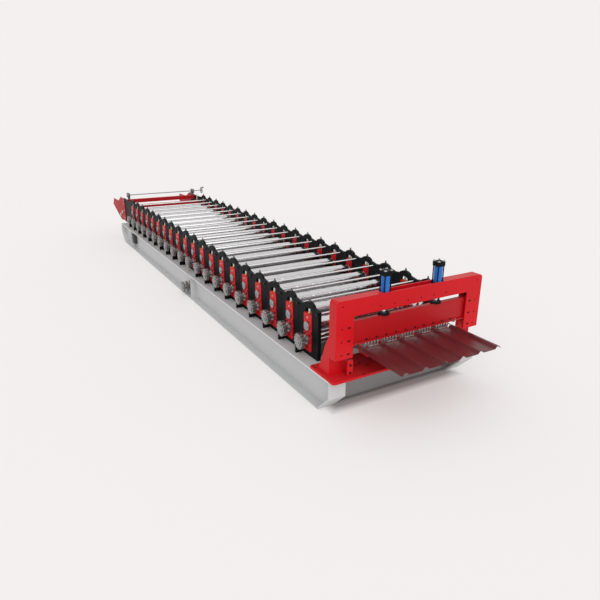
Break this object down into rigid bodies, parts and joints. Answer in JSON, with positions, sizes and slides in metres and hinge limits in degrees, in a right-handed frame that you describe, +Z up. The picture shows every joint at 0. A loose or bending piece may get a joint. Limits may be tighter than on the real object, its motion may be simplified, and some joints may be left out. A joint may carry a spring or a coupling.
{
  "type": "roll forming machine",
  "caption": "Roll forming line for trapezoid roofing sheet: a beam base carries stands of driven rolls in side plates, an infeed guide, and a hydraulic shear at the exit.",
  "frame": {"origin": "on the floor under the middle of the base, on the centre line of the rolls", "axes": "+X is the feed direction towards the shear, +Z is up, the sprocket side is -Y"},
  "size_m": [10.915, 2.114, 1.452],
  "materials": {
    "base_grey": "satin light grey paint",
    "plate_black": "satin black paint",
    "machine_red": "semi-gloss red paint",
    "carrier_red": "semi-gloss dark red paint",
    "dark_steel": "oiled turned steel",
    "roll_chrome": "polished hard chrome",
    "bright_rod": "ground and polished",
    "tool_steel": "ground tool steel",
    "cylinder_blue": "gloss blue paint with black end caps",
    "sheet_wine": "high gloss dark red colour coat",
    "sprocket_grey": "machined steel"
  },
  "bodies": {
    "machine": {"side_beams": "base_grey", "cross_members": "base_grey", "stand_plates_left": "plate_black", "stand_plates_right": "plate_black", "lower_bearing_blocks": "machine_red", "upper_bearing_blocks": "machine_red", "adjusting_screws": "dark_steel", "tie_rods": "bright_rod", "shear_frame": "machine_red", "shear_dies": "machine_red", "shear_cylinders": "cylinder_blue", "formed_sheet": "sheet_wine", "infeed_guides": "machine_red", "infeed_rollers": "tool_steel", "drive_gearbox": "base_grey"},
    "cutter": {"blade_carrier": "carrier_red", "shear_blade": "tool_steel", "cylinder_rods": "bright_rod"},
    "guide_screw": {"guide_screw": "dark_steel"},
    "drive_shaft": {"drive_shaft": "sprocket_grey"},
    "lower_roll_01": {"lower_roll_01": "roll_chrome"},
    "upper_roll_01": {"upper_roll_01": "roll_chrome"},
    "lower_roll_02": {"lower_roll_02": "roll_chrome"},
    "upper_roll_02": {"upper_roll_02": "roll_chrome"},
    "lower_roll_03": {"lower_roll_03": "roll_chrome"},
    "upper_roll_03": {"upper_roll_03": "roll_chrome"},
    "lower_roll_04": {"lower_roll_04": "roll_chrome"},
    "upper_roll_04": {"upper_roll_04": "roll_chrome"},
    "lower_roll_05": {"lower_roll_05": "roll_chrome"},
    "upper_roll_05": {"upper_roll_05": "roll_chrome"},
    "lower_roll_06": {"lower_roll_06": "roll_chrome"},
    "upper_roll_06": {"upper_roll_06": "roll_chrome"},
    "lower_roll_07": {"lower_roll_07": "roll_chrome"},
    "upper_roll_07": {"upper_roll_07": "roll_chrome"},
    "lower_roll_08": {"lower_roll_08": "roll_chrome"},
    "upper_roll_08": {"upper_roll_08": "roll_chrome"},
    "lower_roll_09": {"lower_roll_09": "roll_chrome"},
    "upper_roll_09": {"upper_roll_09": "roll_chrome"},
    "lower_roll_10": {"lower_roll_10": "roll_chrome"},
    "upper_roll_10": {"upper_roll_10": "roll_chrome"},
    "lower_roll_11": {"lower_roll_11": "roll_chrome"},
    "upper_roll_11": {"upper_roll_11": "roll_chrome"},
    "lower_roll_12": {"lower_roll_12": "roll_chrome"},
    "upper_roll_12": {"upper_roll_12": "roll_chrome"},
    "lower_roll_13": {"lower_roll_13": "roll_chrome"},
    "upper_roll_13": {"upper_roll_13": "roll_chrome"},
    "lower_roll_14": {"lower_roll_14": "roll_chrome"},
    "upper_roll_14": {"upper_roll_14": "roll_chrome"},
    "lower_roll_15": {"lower_roll_15": "roll_chrome"},
    "upper_roll_15": {"upper_roll_15": "roll_chrome"},
    "lower_roll_16": {"lower_roll_16": "roll_chrome"},
    "upper_roll_16": {"upper_roll_16": "roll_chrome"},
    "lower_roll_17": {"lower_roll_17": "roll_chrome"},
    "upper_roll_17": {"upper_roll_17": "roll_chrome"},
    "lower_roll_18": {"lower_roll_18": "roll_chrome"},
    "upper_roll_18": {"upper_roll_18": "roll_chrome"},
    "lower_roll_19": {"lower_roll_19": "roll_chrome"},
    "upper_roll_19": {"upper_roll_19": "roll_chrome"},
    "lower_roll_20": {"lower_roll_20": "roll_chrome"},
    "upper_roll_20": {"upper_roll_20": "roll_chrome"}
  },
  "joints": [
    {"name": "lower_roll_01_turn", "type": "hinge", "parent": "machine", "child": "lower_roll_01", "pos_m": [-3.8, 0, 0.582], "axis": [0, 1, 0], "continuous": true},
    {"name": "cutter_slide", "type": "slide", "parent": "machine", "child": "cutter", "axis": [0, 0, -1], "range_m": [0, 0.05]},
    {"name": "guide_screw_turn", "type": "hinge", "parent": "machine", "child": "guide_screw", "pos_m": [-4.44, 0, 1.04], "axis": [0, 1, 0], "continuous": true},
    {"name": "drive_shaft_turn", "type": "hinge", "parent": "machine", "child": "drive_shaft", "pos_m": [0.11, 0, 0.145], "axis": [0, 1, 0], "continuous": true},
    {"name": "upper_roll_01_turn", "type": "hinge", "parent": "machine", "child": "upper_roll_01", "pos_m": [-3.8, 0, 0.738], "axis": [0, 1, 0], "continuous": true},
    {"name": "lower_roll_02_turn", "type": "hinge", "parent": "machine", "child": "lower_roll_02", "pos_m": [-3.4, 0, 0.582], "axis": [0, 1, 0], "continuous": true},
    {"name": "upper_roll_02_turn", "type": "hinge", "parent": "machine", "child": "upper_roll_02", "pos_m": [-3.4, 0, 0.738], "axis": [0, 1, 0], "continuous": true},
    {"name": "lower_roll_03_turn", "type": "hinge", "parent": "machine", "child": "lower_roll_03", "pos_m": [-3, 0, 0.582], "axis": [0, 1, 0], "continuous": true},
    {"name": "upper_roll_03_turn", "type": "hinge", "parent": "machine", "child": "upper_roll_03", "pos_m": [-3, 0, 0.738], "axis": [0, 1, 0], "continuous": true},
    {"name": "lower_roll_04_turn", "type": "hinge", "parent": "machine", "child": "lower_roll_04", "pos_m": [-2.6, 0, 0.582], "axis": [0, 1, 0], "continuous": true},
    {"name": "upper_roll_04_turn", "type": "hinge", "parent": "machine", "child": "upper_roll_04", "pos_m": [-2.6, 0, 0.738], "axis": [0, 1, 0], "continuous": true},
    {"name": "lower_roll_05_turn", "type": "hinge", "parent": "machine", "child": "lower_roll_05", "pos_m": [-2.2, 0, 0.582], "axis": [0, 1, 0], "continuous": true},
    {"name": "upper_roll_05_turn", "type": "hinge", "parent": "machine", "child": "upper_roll_05", "pos_m": [-2.2, 0, 0.738], "axis": [0, 1, 0], "continuous": true},
    {"name": "lower_roll_06_turn", "type": "hinge", "parent": "machine", "child": "lower_roll_06", "pos_m": [-1.8, 0, 0.582], "axis": [0, 1, 0], "continuous": true},
    {"name": "upper_roll_06_turn", "type": "hinge", "parent": "machine", "child": "upper_roll_06", "pos_m": [-1.8, 0, 0.738], "axis": [0, 1, 0], "continuous": true},
    {"name": "lower_roll_07_turn", "type": "hinge", "parent": "machine", "child": "lower_roll_07", "pos_m": [-1.4, 0, 0.582], "axis": [0, 1, 0], "continuous": true},
    {"name": "upper_roll_07_turn", "type": "hinge", "parent": "machine", "child": "upper_roll_07", "pos_m": [-1.4, 0, 0.738], "axis": [0, 1, 0], "continuous": true},
    {"name": "lower_roll_08_turn", "type": "hinge", "parent": "machine", "child": "lower_roll_08", "pos_m": [-1, 0, 0.582], "axis": [0, 1, 0], "continuous": true},
    {"name": "upper_roll_08_turn", "type": "hinge", "parent": "machine", "child": "upper_roll_08", "pos_m": [-1, 0, 0.738], "axis": [0, 1, 0], "continuous": true},
    {"name": "lower_roll_09_turn", "type": "hinge", "parent": "machine", "child": "lower_roll_09", "pos_m": [-0.6, 0, 0.582], "axis": [0, 1, 0], "continuous": true},
    {"name": "upper_roll_09_turn", "type": "hinge", "parent": "machine", "child": "upper_roll_09", "pos_m": [-0.6, 0, 0.738], "axis": [0, 1, 0], "continuous": true},
    {"name": "lower_roll_10_turn", "type": "hinge", "parent": "machine", "child": "lower_roll_10", "pos_m": [-0.2, 0, 0.582], "axis": [0, 1, 0], "continuous": true},
    {"name": "upper_roll_10_turn", "type": "hinge", "parent": "machine", "child": "upper_roll_10", "pos_m": [-0.2, 0, 0.738], "axis": [0, 1, 0], "continuous": true},
    {"name": "lower_roll_11_turn", "type": "hinge", "parent": "machine", "child": "lower_roll_11", "pos_m": [0.2, 0, 0.582], "axis": [0, 1, 0], "continuous": true},
    {"name": "upper_roll_11_turn", "type": "hinge", "parent": "machine", "child": "upper_roll_11", "pos_m": [0.2, 0, 0.738], "axis": [0, 1, 0], "continuous": true},
    {"name": "lower_roll_12_turn", "type": "hinge", "parent": "machine", "child": "lower_roll_12", "pos_m": [0.6, 0, 0.582], "axis": [0, 1, 0], "continuous": true},
    {"name": "upper_roll_12_turn", "type": "hinge", "parent": "machine", "child": "upper_roll_12", "pos_m": [0.6, 0, 0.738], "axis": [0, 1, 0], "continuous": true},
    {"name": "lower_roll_13_turn", "type": "hinge", "parent": "machine", "child": "lower_roll_13", "pos_m": [1, 0, 0.582], "axis": [0, 1, 0], "continuous": true},
    {"name": "upper_roll_13_turn", "type": "hinge", "parent": "machine", "child": "upper_roll_13", "pos_m": [1, 0, 0.738], "axis": [0, 1, 0], "continuous": true},
    {"name": "lower_roll_14_turn", "type": "hinge", "parent": "machine", "child": "lower_roll_14", "pos_m": [1.4, 0, 0.582], "axis": [0, 1, 0], "continuous": true},
    {"name": "upper_roll_14_turn", "type": "hinge", "parent": "machine", "child": "upper_roll_14", "pos_m": [1.4, 0, 0.738], "axis": [0, 1, 0], "continuous": true},
    {"name": "lower_roll_15_turn", "type": "hinge", "parent": "machine", "child": "lower_roll_15", "pos_m": [1.8, 0, 0.582], "axis": [0, 1, 0], "continuous": true},
    {"name": "upper_roll_15_turn", "type": "hinge", "parent": "machine", "child": "upper_roll_15", "pos_m": [1.8, 0, 0.738], "axis": [0, 1, 0], "continuous": true},
    {"name": "lower_roll_16_turn", "type": "hinge", "parent": "machine", "child": "lower_roll_16", "pos_m": [2.2, 0, 0.582], "axis": [0, 1, 0], "continuous": true},
    {"name": "upper_roll_16_turn", "type": "hinge", "parent": "machine", "child": "upper_roll_16", "pos_m": [2.2, 0, 0.738], "axis": [0, 1, 0], "continuous": true},
    {"name": "lower_roll_17_turn", "type": "hinge", "parent": "machine", "child": "lower_roll_17", "pos_m": [2.6, 0, 0.582], "axis": [0, 1, 0], "continuous": true},
    {"name": "upper_roll_17_turn", "type": "hinge", "parent": "machine", "child": "upper_roll_17", "pos_m": [2.6, 0, 0.738], "axis": [0, 1, 0], "continuous": true},
    {"name": "lower_roll_18_turn", "type": "hinge", "parent": "machine", "child": "lower_roll_18", "pos_m": [3, 0, 0.582], "axis": [0, 1, 0], "continuous": true},
    {"name": "upper_roll_18_turn", "type": "hinge", "parent": "machine", "child": "upper_roll_18", "pos_m": [3, 0, 0.738], "axis": [0, 1, 0], "continuous": true},
    {"name": "lower_roll_19_turn", "type": "hinge", "parent": "machine", "child": "lower_roll_19", "pos_m": [3.4, 0, 0.582], "axis": [0, 1, 0], "continuous": true},
    {"name": "upper_roll_19_turn", "type": "hinge", "parent": "machine", "child": "upper_roll_19", "pos_m": [3.4, 0, 0.738], "axis": [0, 1, 0], "continuous": true},
    {"name": "lower_roll_20_turn", "type": "hinge", "parent": "machine", "child": "lower_roll_20", "pos_m": [3.8, 0, 0.582], "axis": [0, 1, 0], "continuous": true},
    {"name": "upper_roll_20_turn", "type": "hinge", "parent": "machine", "child": "upper_roll_20", "pos_m": [3.8, 0, 0.738], "axis": [0, 1, 0], "continuous": true}
  ],
  "couplings": [
    {"joint": "drive_shaft_turn", "follows": "lower_roll_01_turn", "ratio": 1},
    {"joint": "upper_roll_01_turn", "follows": "lower_roll_01_turn", "ratio": -1},
    {"joint": "lower_roll_02_turn", "follows": "lower_roll_01_turn", "ratio": 1},
    {"joint": "upper_roll_02_turn", "follows": "lower_roll_01_turn", "ratio": -1},
    {"joint": "lower_roll_03_turn", "follows": "lower_roll_01_turn", "ratio": 1},
    {"joint": "upper_roll_03_turn", "follows": "lower_roll_01_turn", "ratio": -1},
    {"joint": "lower_roll_04_turn", "follows": "lower_roll_01_turn", "ratio": 1},
    {"joint": "upper_roll_04_turn", "follows": "lower_roll_01_turn", "ratio": -1},
    {"joint": "lower_roll_05_turn", "follows": "lower_roll_01_turn", "ratio": 1},
    {"joint": "upper_roll_05_turn", "follows": "lower_roll_01_turn", "ratio": -1},
    {"joint": "lower_roll_06_turn", "follows": "lower_roll_01_turn", "ratio": 1},
    {"joint": "upper_roll_06_turn", "follows": "lower_roll_01_turn", "ratio": -1},
    {"joint": "lower_roll_07_turn", "follows": "lower_roll_01_turn", "ratio": 1},
    {"joint": "upper_roll_07_turn", "follows": "lower_roll_01_turn", "ratio": -1},
    {"joint": "lower_roll_08_turn", "follows": "lower_roll_01_turn", "ratio": 1},
    {"joint": "upper_roll_08_turn", "follows": "lower_roll_01_turn", "ratio": -1},
    {"joint": "lower_roll_09_turn", "follows": "lower_roll_01_turn", "ratio": 1},
    {"joint": "upper_roll_09_turn", "follows": "lower_roll_01_turn", "ratio": -1},
    {"joint": "lower_roll_10_turn", "follows": "lower_roll_01_turn", "ratio": 1},
    {"joint": "upper_roll_10_turn", "follows": "lower_roll_01_turn", "ratio": -1},
    {"joint": "lower_roll_11_turn", "follows": "lower_roll_01_turn", "ratio": 1},
    {"joint": "upper_roll_11_turn", "follows": "lower_roll_01_turn", "ratio": -1},
    {"joint": "lower_roll_12_turn", "follows": "lower_roll_01_turn", "ratio": 1},
    {"joint": "upper_roll_12_turn", "follows": "lower_roll_01_turn", "ratio": -1},
    {"joint": "lower_roll_13_turn", "follows": "lower_roll_01_turn", "ratio": 1},
    {"joint": "upper_roll_13_turn", "follows": "lower_roll_01_turn", "ratio": -1},
    {"joint": "lower_roll_14_turn", "follows": "lower_roll_01_turn", "ratio": 1},
    {"joint": "upper_roll_14_turn", "follows": "lower_roll_01_turn", "ratio": -1},
    {"joint": "lower_roll_15_turn", "follows": "lower_roll_01_turn", "ratio": 1},
    {"joint": "upper_roll_15_turn", "follows": "lower_roll_01_turn", "ratio": -1},
    {"joint": "lower_roll_16_turn", "follows": "lower_roll_01_turn", "ratio": 1},
    {"joint": "upper_roll_16_turn", "follows": "lower_roll_01_turn", "ratio": -1},
    {"joint": "lower_roll_17_turn", "follows": "lower_roll_01_turn", "ratio": 1},
    {"joint": "upper_roll_17_turn", "follows": "lower_roll_01_turn", "ratio": -1},
    {"joint": "lower_roll_18_turn", "follows": "lower_roll_01_turn", "ratio": 1},
    {"joint": "upper_roll_18_turn", "follows": "lower_roll_01_turn", "ratio": -1},
    {"joint": "lower_roll_19_turn", "follows": "lower_roll_01_turn", "ratio": 1},
    {"joint": "upper_roll_19_turn", "follows": "lower_roll_01_turn", "ratio": -1},
    {"joint": "lower_roll_20_turn", "follows": "lower_roll_01_turn", "ratio": 1},
    {"joint": "upper_roll_20_turn", "follows": "lower_roll_01_turn", "ratio": -1}
  ]
}
